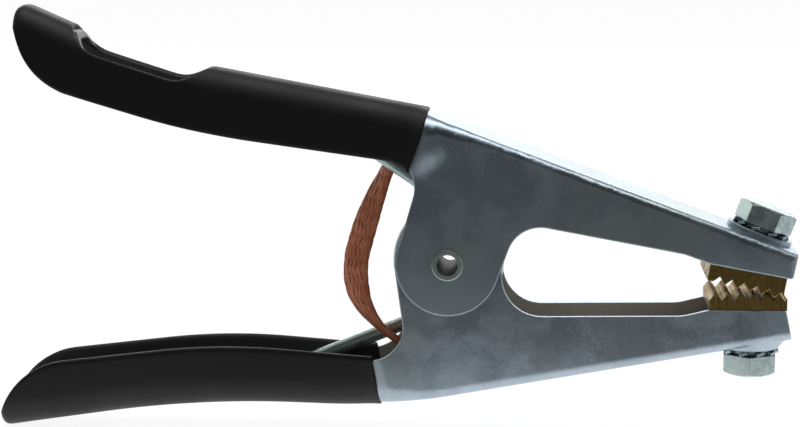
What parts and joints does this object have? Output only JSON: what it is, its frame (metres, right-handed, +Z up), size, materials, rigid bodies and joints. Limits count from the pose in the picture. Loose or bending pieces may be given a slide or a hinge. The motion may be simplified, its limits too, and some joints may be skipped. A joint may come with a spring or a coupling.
{
  "type": "welding ground clamp",
  "caption": "Spring-loaded welding ground clamp with crossed pressed steel arms, dipped PVC handles, toothed brass jaw pads, bolts, a torsion spring and a copper braid linking the jaws.",
  "frame": {"origin": "middle of the pivot rivet's bore", "axes": "+X from the pivot to the jaws, +Z up from the lower jaw to the upper jaw, +Y across the clamp along the rivet; jaws shut at rest"},
  "size_m": [0.2527, 0.0302, 0.1366],
  "materials": {
    "zinc_steel": "zinc-plated pressed sheet, satin with soft mottling",
    "bright_zinc": "bright zinc-plated machined or drawn steel",
    "black_pvc": "glossy dipped black PVC",
    "brass": "sawn and cast brass, slightly tarnished",
    "copper": null
  },
  "bodies": {
    "lower_arm": {"lower_arm": "zinc_steel", "lower_grip": "black_pvc", "pivot_rivet": "bright_zinc", "pivot_spacer": "bright_zinc", "torsion_spring": "bright_zinc", "copper_braid": "copper", "lower_jaw_pad": "brass", "lower_jaw_bolt": "bright_zinc", "lower_lock_washer": "bright_zinc", "lower_braid_lug": "copper"},
    "upper_arm": {"upper_arm": "zinc_steel", "upper_grip": "black_pvc", "upper_jaw_pad": "brass", "upper_jaw_bolt": "bright_zinc", "upper_lock_washer": "bright_zinc", "upper_flat_washer": "bright_zinc", "upper_braid_lug": "copper"}
  },
  "joints": [
    {"name": "pivot", "type": "hinge", "parent": "lower_arm", "child": "upper_arm", "pos_m": [0, 0, 0], "axis": [0, -1, 0], "range_deg": [0, 36], "stiffness_Nm_per_rad": 16, "springref_deg": -22.92, "deforming": ["torsion_spring", "copper_braid"]}
  ]
}
